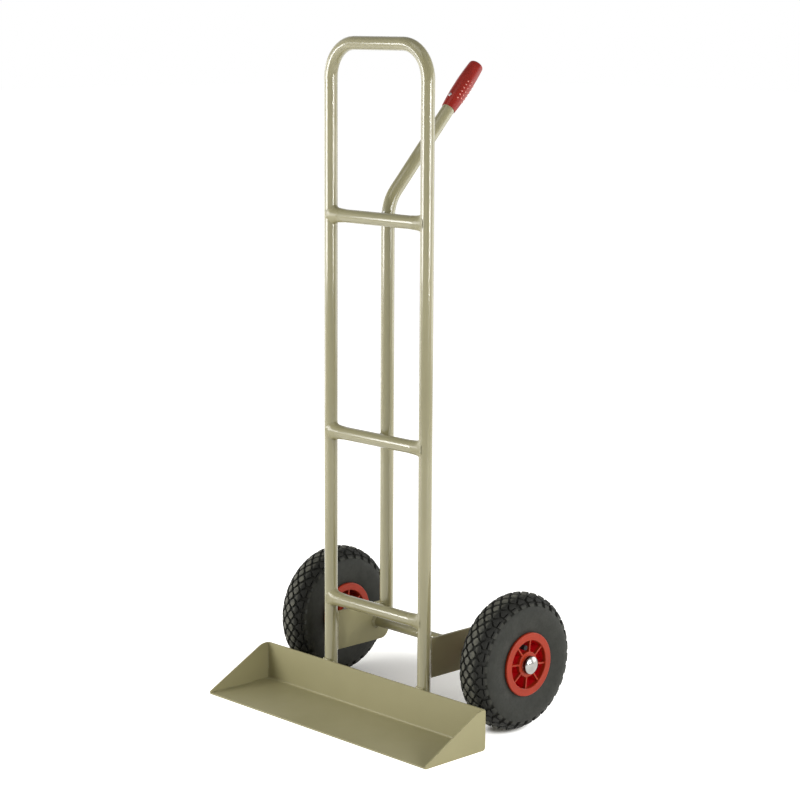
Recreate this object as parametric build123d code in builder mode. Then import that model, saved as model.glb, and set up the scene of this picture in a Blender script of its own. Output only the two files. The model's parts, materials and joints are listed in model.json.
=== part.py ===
from build123d import *
from math import asin, atan2, cos, degrees, pi, radians, sin, sqrt, tan
import os

# A chair trolley: a welded hoop of steel tube with three rungs and a rear spine that bends back
# into a single handle, a folded tray that slides under the feet of stacked chairs, and a pair of
# pneumatic wheels on a fixed axle carried behind the uprights by two side plates.
# Millimetres. Seen from the tray, X runs to the right, Y to the rear and Z up from the floor.
# The origin is the middle of the trolley's footprint.

# Frame tube
TUBE_D = 25.4
TUBE_WALL = 1.6
UPRIGHT_SPACING = 257.0
HOOP_HEIGHT = 1274.0
HOOP_BEND_R = 63.5
FOOT_GAP = 2.0
LOWER_RUNG_Z = 200.0
MIDDLE_RUNG_Z = 528.5
UPPER_RUNG_Z = 942.0

# Handle: the spine bends back just above the upper rung
HANDLE_BEND_R = 75.0
HANDLE_TILT = 43.0
HANDLE_STRAIGHT = 306.0
GRIP_LENGTH = 111.0
GRIP_END_WALL = 4.0
GRIP_MOUTH_WALL = 1.3
GRIP_BELLY_WALL = 3.9
GRIP_TIP_WALL = 1.7
GRIP_BELLY_AT = 52.0
GRIP_TIP_ROUND = 5.0
RIVET_AT = 23.0
RIVET_HEAD_D = 9.0
RIVET_HEAD_H = 2.2
RIVET_CORE_D = 2.0
RIVET_CORE_DEPTH = 1.4
RIVET_SHANK_D = 3.2
RIVET_SHANK_PROUD = 3.0
RIVET_SEAT_WALL = 2.0

# Tray: one folded sheet closed by a gusset at each end
TRAY_WIDTH = 602.0
TRAY_DEPTH = 152.0
TRAY_HEIGHT = 76.5
SHEET_T = 3.0
SHEET_EDGE_R = 0.9
FOLD_R = 3.5
GUSSET_NOSE = 6.0
GUSSET_NOSE_R = 3.0
GUSSET_LAND = 18.0
GUSSET_CROWN_R = 40.0
GUSSET_HEEL_R = 4.0
GUSSET_EDGE_R = 0.8

# Side plates and axle
PLATE_T = 6.0
PLATE_HEIGHT = 76.0
PLATE_TAIL = 32.0
PLATE_CORNER_R = 20.0
AXLE_D = 20.0
AXLE_PROUD = 5.0
AXLE_CHAMFER = 1.0
SPACER_WALL = 3.5
WASHER_D = 33.0
WASHER_T = 2.0
CAP_D = 34.0
CAP_SKIRT = 6.5
CAP_DOME = 6.0
CAP_EDGE_R = 3.0
CAP_WALL = 1.0
STAR_T = 1.0
STAR_TEETH = 6
STAR_SLOT_W = 3.0
STAR_BAND = 2.0

# Wheels
WHEEL_TRACK = 494.0
TYRE_D = 260.0
TYRE_WIDTH = 74.0
TYRE_WALL = 4.5
TREAD_DEPTH = 3.5
TREAD_PITCHES = 32
TREAD_BAND = 62.0
TREAD_CROWN = 13.0
TREAD_FLATS = 3
TREAD_STEP = 12.0
TREAD_GROOVE = 4.0
LUG_TAPER = 0.75
INNER_TUBE_WALL = 2.0
RIM_WIDTH = 74.0
RIM_FLANGE_H = 9.0
RIM_FLANGE_T = 6.0
RIM_ROLL_R = 2.0
RIM_EDGE_R = 1.6
BEAD_SEAT_D = 102.0
BEAD_TOE = 12.5
BARREL_WALL = 5.5
POCKET_DRAFT = 1.2
WEB_T = 4.0
RIB_COUNT = 8
RIB_T = 3.0
RIB_DROP = 2.5
RIB_PHASE = -7.2
HUB_LENGTH = 70.0
BOSS_D = 48.5
RIM_SCREWS = 4
SCREW_POCKET = 1.5
SCREW_D = 5.0
SCREW_HEAD_D = 9.5
SCREW_HEAD_T = 3.2
SCREW_BITE = 10.0
SCREW_BOSS_WALL = 3.0
SCREW_FLOOR = 2.0

# Valve, in the pocket that lies just ahead of the top rib
VALVE_POCKET = 2.5
VALVE_D = 8.0
VALVE_TO_BEAD = 1.0
VALVE_BEND_R = 6.0
VALVE_REACH = 20.0
VALVE_CAP_D = 9.6
VALVE_CAP_LENGTH = 9.0
VALVE_CAP_LAP = 6.0

# Roller bearing in each hub
ROLLER_D = 5.0
ROLLER_COUNT = 8
CAGE_T = 2.6
CAGE_RIM = 3.0
CAGE_INSET = 4.0

# Clearances
COPE_GAP = 0.1
TYRE_TO_TRAY = 2.2
AXLE_CLEARANCE = 0.2
ROLLER_CLEARANCE = 0.05
CAGE_CLEARANCE = 0.15
HUB_END_FLOAT = 0.3
INNER_TUBE_CLEARANCE = 0.2
VALVE_CLEARANCE = 0.2
SCREW_CLEARANCE = 0.3
RIVET_CLEARANCE = 0.1

# Half sizes and places that follow from the sizes above
TUBE_R = TUBE_D / 2
UPRIGHT_X = UPRIGHT_SPACING / 2
TRAY_X = TRAY_WIDTH / 2
AXLE_R = AXLE_D / 2
TYRE_R = TYRE_D / 2
WHEEL_X = WHEEL_TRACK / 2
CAP_R = CAP_D / 2
GRIP_MOUTH_R = TUBE_R + GRIP_MOUTH_WALL
GRIP_BELLY_R = TUBE_R + GRIP_BELLY_WALL
GRIP_TIP_R = TUBE_R + GRIP_TIP_WALL

# The arm leans back by the tilt. Its length runs from the corner that the bend cuts off.
BEND_SETBACK = HANDLE_BEND_R * tan(radians(HANDLE_TILT / 2))
ARM_TUBE = BEND_SETBACK + HANDLE_STRAIGHT
ARM_TIP = ARM_TUBE + GRIP_END_WALL
ARM_RISE = cos(radians(HANDLE_TILT))
ARM_RUN = sin(radians(HANDLE_TILT))

# Reach in front of and behind the uprights, which sets the middle of the footprint
FRONT_REACH = TUBE_R + TRAY_DEPTH
TIP_REACH = (ARM_TIP - GRIP_TIP_ROUND) * ARM_RUN + (GRIP_TIP_R - GRIP_TIP_ROUND) * ARM_RISE
HANDLE_REACH = TUBE_D + TIP_REACH + GRIP_TIP_ROUND
WHEEL_REACH = TYRE_D + TYRE_TO_TRAY - TUBE_R
REAR_REACH = max(HANDLE_REACH, WHEEL_REACH)
UPRIGHT_Y = (FRONT_REACH - REAR_REACH) / 2
TRAY_BACK_Y = UPRIGHT_Y - TUBE_R
TRAY_FRONT_Y = TRAY_BACK_Y - TRAY_DEPTH
SPINE_Y = UPRIGHT_Y + TUBE_D
AXLE_Y = TRAY_BACK_Y + TYRE_TO_TRAY + TYRE_R
AXLE_Z = TYRE_R

# Along the right-hand end of the axle, from the plate out to the cap
PLATE_OUT_X = UPRIGHT_X + PLATE_T / 2
HUB_IN_X = WHEEL_X - HUB_LENGTH / 2
HUB_OUT_X = WHEEL_X + HUB_LENGTH / 2
INNER_WASHER_X = HUB_IN_X - HUB_END_FLOAT - WASHER_T
OUTER_WASHER_X = HUB_OUT_X + HUB_END_FLOAT
CAP_X = OUTER_WASHER_X + WASHER_T
AXLE_END_X = CAP_X + AXLE_PROUD

# Wheel section, in distance along the axle from the wheel's middle and radius from the axle
SECTION_R = TYRE_WIDTH / 2
SECTION_MID_R = TYRE_R - SECTION_R
RIM_HALF = RIM_WIDTH / 2
FLANGE_IN = RIM_HALF - RIM_FLANGE_T
SEAT_R = BEAD_SEAT_D / 2
FLANGE_R = SEAT_R + RIM_FLANGE_H
BARREL_R = SEAT_R - BARREL_WALL
BOSS_R = BOSS_D / 2
POCKET_R = (BARREL_R + BOSS_R) / 2
ROLLER_PITCH_R = AXLE_R + ROLLER_CLEARANCE + ROLLER_D / 2
BORE_R = ROLLER_PITCH_R + ROLLER_D / 2 + ROLLER_CLEARANCE
SIDE_TUCK = SECTION_R - FLANGE_IN
SIDE_DROP = SECTION_MID_R - FLANGE_R
SIDE_R = (SIDE_TUCK**2 + SIDE_DROP**2) / (2 * SIDE_TUCK)
SIDE_ANGLE = 2 * degrees(atan2(SIDE_TUCK, SIDE_DROP))
RIB_STEP = 360 / RIB_COUNT
SCREW_PHASE = RIB_PHASE + SCREW_POCKET * RIB_STEP
VALVE_ANGLE = RIB_PHASE + VALVE_POCKET * RIB_STEP
VALVE_AT = FLANGE_IN - BEAD_TOE - VALVE_TO_BEAD - VALVE_D / 2
CAGE_LENGTH = HUB_LENGTH - 2 * CAGE_INSET
WINDOW_LENGTH = CAGE_LENGTH - 2 * CAGE_RIM
ROLLER_LENGTH = WINDOW_LENGTH - 2 * CAGE_CLEARANCE

# Planes and axes
UPRIGHT_PLANE = Plane.XZ.offset(-UPRIGHT_Y)
BEND_CORNER_Z = UPPER_RUNG_Z + BEND_SETBACK
ARM_DIR = Vector(0, ARM_RUN, ARM_RISE)
ARM_FRONT = Vector(0, -ARM_RISE, ARM_RUN)
BEND_CORNER = Vector(0, SPINE_Y, BEND_CORNER_Z)
GRIP_MOUTH = BEND_CORNER + ARM_DIR * (ARM_TIP - GRIP_LENGTH)
GRIP_SECTION = Plane(GRIP_MOUTH, x_dir=(1, 0, 0), z_dir=ARM_FRONT)
RIVET_PLANE = Plane(GRIP_MOUTH + ARM_DIR * RIVET_AT, x_dir=(1, 0, 0), z_dir=ARM_FRONT)
AXLE_CENTRE = Vector(0, AXLE_Y, AXLE_Z)
AXLE_LINE = Axis(AXLE_CENTRE, (1, 0, 0))
HUB_CENTRE = Vector(WHEEL_X, AXLE_Y, AXLE_Z)
AXLE_SECTION = Plane(AXLE_CENTRE, x_dir=(1, 0, 0), z_dir=(0, -1, 0))
WHEEL_SECTION = Plane(HUB_CENTRE, x_dir=(1, 0, 0), z_dir=(0, -1, 0))
VALVE_SPOKE = Vector(0, cos(radians(VALVE_ANGLE)), sin(radians(VALVE_ANGLE)))
VALVE_FOOT = HUB_CENTRE + Vector(VALVE_AT, 0, 0)
VALVE_SEAT = Plane(VALVE_FOOT + VALVE_SPOKE * SEAT_R, x_dir=(1, 0, 0), z_dir=-VALVE_SPOKE)

os.makedirs("parts", exist_ok=True)


def save(piece, name):
    """Label one finished piece and write it to its own file."""
    piece.part.label = name
    export_step(piece.part, f"parts/{name}.step")


def save_pair(piece, name):
    """Write a right-hand piece and its mirror image for the left-hand side."""
    save(piece, f"right_{name}")
    with BuildPart() as twin:
        mirror(piece.part, about=Plane.YZ)
    save(twin, f"left_{name}")


def tube_section():
    """Draw the frame tube's ring in the sketch that is open."""
    Circle(TUBE_R)
    Circle(TUBE_R - TUBE_WALL, mode=Mode.SUBTRACT)


def across_axle(at_x):
    """A plane square to the axle, facing right."""
    return Plane((at_x, AXLE_Y, AXLE_Z), x_dir=(0, 1, 0), z_dir=(1, 0, 0))


# Hoop: both uprights and the top are one bent tube, open at its feet
with BuildPart() as hoop_frame:
    hoop_top_z = HOOP_HEIGHT - TUBE_R
    with BuildLine(UPRIGHT_PLANE):
        FilletPolyline(
            (-UPRIGHT_X, FOOT_GAP),
            (-UPRIGHT_X, hoop_top_z),
            (UPRIGHT_X, hoop_top_z),
            (UPRIGHT_X, FOOT_GAP),
            radius=HOOP_BEND_R,
        )
    with BuildSketch(Plane((-UPRIGHT_X, UPRIGHT_Y, FOOT_GAP))):
        tube_section()
    sweep()
save(hoop_frame, "hoop_frame")

# Rungs: straight tubes, their ends coped to the round of the uprights
for rung_name, rung_z in (
    ("lower_rung", LOWER_RUNG_Z),
    ("middle_rung", MIDDLE_RUNG_Z),
    ("upper_rung", UPPER_RUNG_Z),
):
    with BuildPart() as rung:
        with BuildSketch(Plane((-UPRIGHT_X, UPRIGHT_Y, rung_z), x_dir=(0, 1, 0), z_dir=(1, 0, 0))):
            tube_section()
        extrude(amount=UPRIGHT_SPACING)
        with Locations((-UPRIGHT_X, UPRIGHT_Y, rung_z), (UPRIGHT_X, UPRIGHT_Y, rung_z)):
            Cylinder(TUBE_R + COPE_GAP, 2 * TUBE_D, mode=Mode.SUBTRACT)
    save(rung, rung_name)

# Spine and handle: one tube behind the rungs, bent back above the upper rung
with BuildPart() as handle_tube:
    spine_foot_z = LOWER_RUNG_Z - TUBE_R
    arm_end = BEND_CORNER + ARM_DIR * ARM_TUBE
    with BuildLine(Plane.YZ):
        FilletPolyline(
            (SPINE_Y, spine_foot_z),
            (SPINE_Y, BEND_CORNER_Z),
            (arm_end.Y, arm_end.Z),
            radius=HANDLE_BEND_R,
        )
    with BuildSketch(Plane((0, SPINE_Y, spine_foot_z))):
        tube_section()
    sweep()
    with BuildSketch(RIVET_PLANE):
        Circle(RIVET_SHANK_D / 2 + RIVET_CLEARANCE)
    extrude(amount=TUBE_D, mode=Mode.SUBTRACT)
save(handle_tube, "handle_tube")

# Grip: a moulded sleeve with a full belly and a rounded closed tip
with BuildPart() as handle_grip:
    with BuildSketch(GRIP_SECTION):
        with BuildLine():
            bore_top = GRIP_LENGTH - GRIP_END_WALL
            tip_corner = (GRIP_TIP_R - GRIP_TIP_ROUND, GRIP_LENGTH - GRIP_TIP_ROUND)
            Polyline((0, GRIP_LENGTH), (0, bore_top), (TUBE_R, bore_top), (TUBE_R, 0), (GRIP_MOUTH_R, 0))
            ThreePointArc(
                (GRIP_MOUTH_R, 0),
                (GRIP_BELLY_R, GRIP_BELLY_AT),
                (GRIP_TIP_R, GRIP_LENGTH - GRIP_TIP_ROUND),
            )
            CenterArc(tip_corner, GRIP_TIP_ROUND, 0, 90)
            Line((GRIP_TIP_R - GRIP_TIP_ROUND, GRIP_LENGTH), (0, GRIP_LENGTH))
        make_face()
    revolve(axis=Axis(GRIP_MOUTH, ARM_DIR))
    with BuildSketch(RIVET_PLANE.offset(TUBE_R + RIVET_SEAT_WALL)):
        Circle(RIVET_HEAD_D / 2 + RIVET_CLEARANCE)
    extrude(amount=GRIP_BELLY_R, mode=Mode.SUBTRACT)
    with BuildSketch(RIVET_PLANE):
        Circle(RIVET_SHANK_D / 2 + RIVET_CLEARANCE)
    extrude(amount=GRIP_BELLY_R, mode=Mode.SUBTRACT)
save(handle_grip, "handle_grip")

# Rivet: a domed head on the grip, hollow where its mandrel broke off, and a shank through the tube's wall
with BuildPart() as grip_rivet:
    rivet_seat = TUBE_R + RIVET_SEAT_WALL
    shank_foot = TUBE_R - TUBE_WALL - RIVET_SHANK_PROUD
    head_r = RIVET_HEAD_D / 2
    head_dome_r = (head_r**2 + RIVET_HEAD_H**2) / (2 * RIVET_HEAD_H)
    head_angle = degrees(asin(head_r / head_dome_r))
    with BuildSketch(Plane(RIVET_PLANE.origin, x_dir=(1, 0, 0), z_dir=-ARM_DIR)):
        with BuildLine():
            Polyline(
                (0, rivet_seat + RIVET_HEAD_H),
                (0, shank_foot),
                (RIVET_SHANK_D / 2, shank_foot),
                (RIVET_SHANK_D / 2, rivet_seat),
                (head_r, rivet_seat),
            )
            CenterArc((0, rivet_seat + RIVET_HEAD_H - head_dome_r), head_dome_r, 90 - head_angle, head_angle)
        make_face()
    revolve(axis=Axis(RIVET_PLANE.origin, ARM_FRONT))
    with BuildSketch(RIVET_PLANE.offset(rivet_seat + RIVET_HEAD_H - RIVET_CORE_DEPTH)):
        Circle(RIVET_CORE_D / 2)
    extrude(amount=RIVET_CORE_DEPTH, mode=Mode.SUBTRACT)
save(grip_rivet, "grip_rivet")

# Tray: floor and back wall folded from one sheet
with BuildPart() as tray:
    tray_half = TRAY_X - SHEET_T
    wall_mid_y = TRAY_BACK_Y - SHEET_T / 2
    with BuildSketch(Plane.YZ.offset(-tray_half)):
        with BuildLine():
            FilletPolyline(
                (TRAY_FRONT_Y, SHEET_T / 2),
                (wall_mid_y, SHEET_T / 2),
                (wall_mid_y, TRAY_HEIGHT),
                radius=FOLD_R + SHEET_T / 2,
            )
        trace(line_width=SHEET_T)
    extrude(amount=2 * tray_half)
    fillet(tray.edges().filter_by(Axis.X).group_by(Axis.Y)[0], SHEET_EDGE_R)
save(tray, "tray")

# Gussets: sloping end plates that close the tray, edges eased on the outside
with BuildPart() as gusset:
    with BuildSketch(Plane.YZ.offset(TRAY_X - SHEET_T)):
        with BuildLine():
            FilletPolyline(
                (TRAY_FRONT_Y, 0),
                (TRAY_FRONT_Y, GUSSET_NOSE),
                (TRAY_BACK_Y - GUSSET_LAND, TRAY_HEIGHT),
                (TRAY_BACK_Y, TRAY_HEIGHT),
                (TRAY_BACK_Y, 0),
                radius=(SHEET_EDGE_R, GUSSET_NOSE_R, GUSSET_CROWN_R, GUSSET_HEEL_R, FOLD_R + SHEET_T),
                close=True,
            )
        make_face()
    extrude(amount=SHEET_T)
    fillet(gusset.faces().sort_by(Axis.X)[-1].edges(), GUSSET_EDGE_R)
save_pair(gusset, "gusset")

# Side plates: flat bars welded to the rear of the uprights, bored for the axle
with BuildPart() as side_plate:
    plate_low_z = AXLE_Z - PLATE_HEIGHT / 2
    plate_high_z = AXLE_Z + PLATE_HEIGHT / 2
    plate_rear_y = AXLE_Y + PLATE_TAIL
    with BuildSketch(Plane.YZ.offset(UPRIGHT_X)):
        with BuildLine():
            FilletPolyline(
                (UPRIGHT_Y, plate_low_z),
                (plate_rear_y, plate_low_z),
                (plate_rear_y, plate_high_z),
                (UPRIGHT_Y, plate_high_z),
                radius=(0, PLATE_CORNER_R, PLATE_CORNER_R, 0),
                close=True,
            )
        make_face()
        with Locations((AXLE_Y, AXLE_Z)):
            Circle(AXLE_R, mode=Mode.SUBTRACT)
    extrude(amount=PLATE_T / 2, both=True)
    with Locations((UPRIGHT_X, UPRIGHT_Y, AXLE_Z)):
        Cylinder(TUBE_R + COPE_GAP, 2 * PLATE_HEIGHT, mode=Mode.SUBTRACT)
save_pair(side_plate, "side_plate")

# Axle: one solid bar through both plates and both wheels
with BuildPart() as axle:
    with BuildSketch(across_axle(-AXLE_END_X)):
        Circle(AXLE_R)
    extrude(amount=2 * AXLE_END_X)
    chamfer(axle.edges().filter_by(GeomType.CIRCLE), AXLE_CHAMFER)
save(axle, "axle")


def axle_ring(outer_r, inner_r, start_x, length):
    """A plain ring round the right-hand end of the axle."""
    with BuildPart() as ring:
        with BuildSketch(across_axle(start_x)):
            Circle(outer_r)
            Circle(inner_r, mode=Mode.SUBTRACT)
        extrude(amount=length)
    return ring


# Spacer tubes hold the wheels out from the plates, with a thrust washer on each face of each hub
sleeve_r = AXLE_R + AXLE_CLEARANCE
spacer = axle_ring(sleeve_r + SPACER_WALL, sleeve_r, PLATE_OUT_X, INNER_WASHER_X - PLATE_OUT_X)
save_pair(spacer, "spacer")
save_pair(axle_ring(WASHER_D / 2, sleeve_r, INNER_WASHER_X, WASHER_T), "inner_washer")
save_pair(axle_ring(WASHER_D / 2, sleeve_r, OUTER_WASHER_X, WASHER_T), "outer_washer")

# Push-on cap: a toothed spring ring that bites the axle, inside a domed cover
with BuildPart() as star_ring:
    star_r = CAP_R - CAP_WALL
    slot_end_r = star_r - STAR_BAND
    slot_length = slot_end_r - AXLE_R + STAR_SLOT_W
    with BuildSketch(across_axle(CAP_X)):
        Circle(star_r)
        Circle(AXLE_R, mode=Mode.SUBTRACT)
        with PolarLocations(slot_end_r - slot_length / 2, STAR_TEETH):
            SlotOverall(slot_length, STAR_SLOT_W, mode=Mode.SUBTRACT)
    extrude(amount=STAR_T)
save_pair(star_ring, "star_ring")

with BuildPart() as axle_cap:
    dome_r = (CAP_R**2 + CAP_DOME**2) / (2 * CAP_DOME)
    dome_x = CAP_X + CAP_SKIRT + CAP_DOME - dome_r
    inside_dome_r = dome_r - CAP_WALL
    inside_r = CAP_R - CAP_WALL
    inside_x = dome_x + sqrt(inside_dome_r**2 - inside_r**2)
    with BuildSketch(AXLE_SECTION) as cap_section:
        with BuildLine():
            CenterArc((dome_x, 0), dome_r, 0, degrees(asin(CAP_R / dome_r)))
            Polyline((CAP_X + CAP_SKIRT, CAP_R), (CAP_X, CAP_R), (CAP_X, inside_r), (inside_x, inside_r))
            CenterArc((dome_x, 0), inside_dome_r, 0, degrees(asin(inside_r / inside_dome_r)))
            Line((dome_x + inside_dome_r, 0), (dome_x + dome_r, 0))
        make_face()
        fillet(cap_section.vertices().group_by(Axis.Y)[-1].sort_by(Axis.X)[-1], CAP_EDGE_R)
    revolve(axis=AXLE_LINE)
save_pair(axle_cap, "axle_cap")


def tread_points(radius):
    """Right half of the tread's section: a flat crown, then flats that follow the round of the tyre."""
    points = [(0, SECTION_MID_R + radius), (radius * sin(radians(TREAD_CROWN)), SECTION_MID_R + radius)]
    for flat in range(1, TREAD_FLATS + 1):
        angle = radians(TREAD_CROWN + (TREAD_BAND - TREAD_CROWN) * flat / TREAD_FLATS)
        points.append((radius * sin(angle), SECTION_MID_R + radius * cos(angle)))
    return points


def tread_plane(lean, turn, lift):
    """A plane that lies on the tread, leaning towards the side and turned round the axle."""
    spoke = Vector(0, cos(radians(turn)), sin(radians(turn)))
    side = Vector(1, 0, 0)
    normal = side * sin(radians(lean)) + spoke * cos(radians(lean))
    across = side * cos(radians(lean)) - spoke * sin(radians(lean))
    centre = HUB_CENTRE + spoke * SECTION_MID_R + normal * (SECTION_R + lift)
    return Plane(centre, x_dir=across, z_dir=normal)


# Tread blocks of one pitch: a diamond on the crown, and half a pitch on, a lug over each shoulder
pitch_angle = 360 / TREAD_PITCHES
half_pitch = pi * TYRE_R / TREAD_PITCHES
lattice_r = TREAD_STEP * half_pitch / sqrt(TREAD_STEP**2 + half_pitch**2)
block_share = (lattice_r - TREAD_GROOVE / 2) / lattice_r
block_x = TREAD_STEP * block_share
block_y = half_pitch * block_share
lug_lean = (degrees(TREAD_STEP / SECTION_R) + TREAD_BAND) / 2
lug_root = TREAD_STEP - SECTION_R * radians(lug_lean)
lug_y = block_y * (1 + (SECTION_R * cos(radians(lug_lean)) - SECTION_R) / TYRE_R)
block_lift = 2 * TREAD_DEPTH
block_height = 3 * block_lift
with BuildPart() as tread_pitch:
    with BuildSketch(tread_plane(0, 0, block_lift)):
        Polygon((block_x, 0), (0, block_y), (-block_x, 0), (0, -block_y), align=None)
    extrude(amount=-block_height)
    for hand in (-1, 1):
        lug_tip = hand * (lug_root - block_x)
        lug_end = hand * SECTION_R
        lug_end_y = lug_y * LUG_TAPER
        with BuildSketch(tread_plane(hand * lug_lean, pitch_angle / 2, block_lift)):
            Polygon(
                (lug_tip, 0),
                (hand * lug_root, lug_y),
                (lug_end, lug_end_y),
                (lug_end, -lug_end_y),
                (hand * lug_root, -lug_y),
                align=None,
            )
        extrude(amount=-block_height)

# Grooves: the tread band less every block
with BuildPart() as tread_grooves:
    band_outside = tread_points(SECTION_R + TREAD_DEPTH)
    band_inside = tread_points(SECTION_R - TREAD_DEPTH)
    with BuildSketch(WHEEL_SECTION):
        with BuildLine():
            Polyline(*band_outside, *reversed(band_inside))
            mirror(about=Plane.YZ)
        make_face()
    revolve(axis=AXLE_LINE)
    blocks = [tread_pitch.part.rotate(AXLE_LINE, n * pitch_angle) for n in range(TREAD_PITCHES)]
    add(blocks, mode=Mode.SUBTRACT)


def cavity_points(inset):
    """Right half of the air space inside the tyre, drawn in from it by an inset."""
    radius = SECTION_R - TREAD_DEPTH - TYRE_WALL - inset
    shoulder = radians((TREAD_CROWN + 90) / 2)
    return [
        (0, SECTION_MID_R + radius),
        (radius * sin(radians(TREAD_CROWN)), SECTION_MID_R + radius),
        (radius * sin(shoulder), SECTION_MID_R + radius * cos(shoulder)),
        (radius, SECTION_MID_R),
        (FLANGE_IN - TYRE_WALL - inset, FLANGE_R + inset / 2),
        (FLANGE_IN - BEAD_TOE - inset, SEAT_R + inset),
        (0, SEAT_R + inset),
    ]


# Tyre: smooth side walls down to the beads, and the treaded band over the crown
with BuildPart() as tyre:
    with BuildSketch(WHEEL_SECTION):
        with BuildLine():
            Polyline(*tread_points(SECTION_R))
            shoulder = CenterArc((0, SECTION_MID_R), SECTION_R, 90 - TREAD_BAND, TREAD_BAND - 90)
            wall = JernArc(shoulder @ 1, shoulder % 1, SIDE_R, -SIDE_ANGLE)
            Polyline(wall @ 1, (FLANGE_IN, SEAT_R), (0, SEAT_R))
            mirror(about=Plane.YZ)
        make_face()
        with BuildLine():
            Polyline(*cavity_points(0))
            mirror(about=Plane.YZ)
        make_face(mode=Mode.SUBTRACT)
    revolve(axis=AXLE_LINE)
    add(tread_grooves.part, mode=Mode.SUBTRACT)
save_pair(tyre, "tyre")

# Inner tube: a thin ring that fills the tyre
with BuildPart() as inner_tube:
    with BuildSketch(WHEEL_SECTION):
        with BuildLine():
            Polyline(*cavity_points(INNER_TUBE_CLEARANCE))
            mirror(about=Plane.YZ)
        make_face()
        with BuildLine():
            Polyline(*cavity_points(INNER_TUBE_CLEARANCE + INNER_TUBE_WALL))
            mirror(about=Plane.YZ)
        make_face(mode=Mode.SUBTRACT)
    revolve(axis=AXLE_LINE)
save_pair(inner_tube, "inner_tube")


def rim_half(out):
    """One half of the moulded rim, outer for out = 1 and inner for out = -1."""
    face = Plane(HUB_CENTRE, x_dir=(0, 1, 0), z_dir=(out, 0, 0))
    with BuildPart() as half:
        with BuildSketch(WHEEL_SECTION):
            with BuildLine():
                FilletPolyline(
                    (0, BORE_R),
                    (out * HUB_LENGTH / 2, BORE_R),
                    (out * HUB_LENGTH / 2, BOSS_R),
                    (out * WEB_T, BOSS_R + POCKET_DRAFT),
                    (out * WEB_T, BARREL_R - POCKET_DRAFT),
                    (out * RIM_HALF, BARREL_R),
                    (out * RIM_HALF, FLANGE_R),
                    (out * FLANGE_IN, FLANGE_R),
                    (out * FLANGE_IN, SEAT_R),
                    (0, SEAT_R),
                    radius=(0, 0, RIM_EDGE_R, 0, 0, RIM_EDGE_R, RIM_ROLL_R, RIM_EDGE_R, 0, 0),
                    close=True,
                )
            make_face()
        revolve(axis=AXLE_LINE)
        rib_span = BARREL_R - BOSS_R + 2 * POCKET_DRAFT
        with BuildSketch(face.offset(WEB_T)):
            with PolarLocations(POCKET_R, RIB_COUNT, start_angle=out * RIB_PHASE):
                Rectangle(rib_span, RIB_T)
        extrude(amount=RIM_HALF - WEB_T - RIB_DROP)
        if out > 0:
            boss_top = SCREW_BITE + SCREW_FLOOR
            with BuildSketch(face.offset(WEB_T)):
                with PolarLocations(POCKET_R, RIM_SCREWS, start_angle=out * SCREW_PHASE):
                    Circle(SCREW_D / 2 + SCREW_BOSS_WALL)
            extrude(amount=boss_top - WEB_T)
            with BuildSketch(face):
                with PolarLocations(POCKET_R, RIM_SCREWS, start_angle=out * SCREW_PHASE):
                    Circle(SCREW_D / 2)
            extrude(amount=SCREW_BITE, mode=Mode.SUBTRACT)
            with BuildSketch(VALVE_SEAT):
                Circle(VALVE_D / 2 + VALVE_CLEARANCE)
            extrude(amount=BARREL_WALL + 2 * POCKET_DRAFT, both=True, mode=Mode.SUBTRACT)
        else:
            with BuildSketch(face):
                with PolarLocations(POCKET_R, RIM_SCREWS, start_angle=out * SCREW_PHASE):
                    Circle(SCREW_D / 2 + SCREW_CLEARANCE)
            extrude(amount=WEB_T, mode=Mode.SUBTRACT)
    return half


# Rim: two moulded halves that clamp the tyre's beads, deep pockets between eight ribs
save_pair(rim_half(1), "rim_outer_half")
save_pair(rim_half(-1), "rim_inner_half")

# Screws that join the halves, driven from the inner side
with BuildPart() as rim_screws:
    screw_face = across_axle(WHEEL_X - WEB_T)
    with BuildSketch(screw_face):
        with PolarLocations(POCKET_R, RIM_SCREWS, start_angle=SCREW_PHASE):
            Circle(SCREW_D / 2)
    extrude(amount=WEB_T + SCREW_BITE)
    with BuildSketch(screw_face):
        with PolarLocations(POCKET_R, RIM_SCREWS, start_angle=SCREW_PHASE):
            Circle(SCREW_HEAD_D / 2)
    extrude(amount=-SCREW_HEAD_T)
save_pair(rim_screws, "rim_screws")

# Valve: a rubber stem through the barrel, bent outwards in the pocket, with a cap on its end
with BuildPart() as valve_stem:
    with BuildLine(Plane(VALVE_FOOT, x_dir=(1, 0, 0), z_dir=Vector(1, 0, 0).cross(VALVE_SPOKE))):
        FilletPolyline((0, SEAT_R), (0, POCKET_R), (VALVE_REACH, POCKET_R), radius=VALVE_BEND_R)
    with BuildSketch(VALVE_SEAT):
        Circle(VALVE_D / 2)
    sweep()
save_pair(valve_stem, "valve_stem")

with BuildPart() as valve_cap:
    cap_mouth = VALVE_FOOT + VALVE_SPOKE * POCKET_R + Vector(VALVE_REACH - VALVE_CAP_LAP, 0, 0)
    with BuildSketch(Plane(cap_mouth, x_dir=(0, 1, 0), z_dir=(1, 0, 0))):
        Circle(VALVE_CAP_D / 2)
    extrude(amount=VALVE_CAP_LENGTH)
    fillet(valve_cap.edges().filter_by(GeomType.CIRCLE).sort_by(Axis.X)[-1], (VALVE_CAP_D - VALVE_D) / 2)
    with BuildSketch(Plane(cap_mouth, x_dir=(0, 1, 0), z_dir=(1, 0, 0))):
        Circle(VALVE_D / 2)
    extrude(amount=VALVE_CAP_LAP, mode=Mode.SUBTRACT)
save_pair(valve_cap, "valve_cap")

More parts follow.
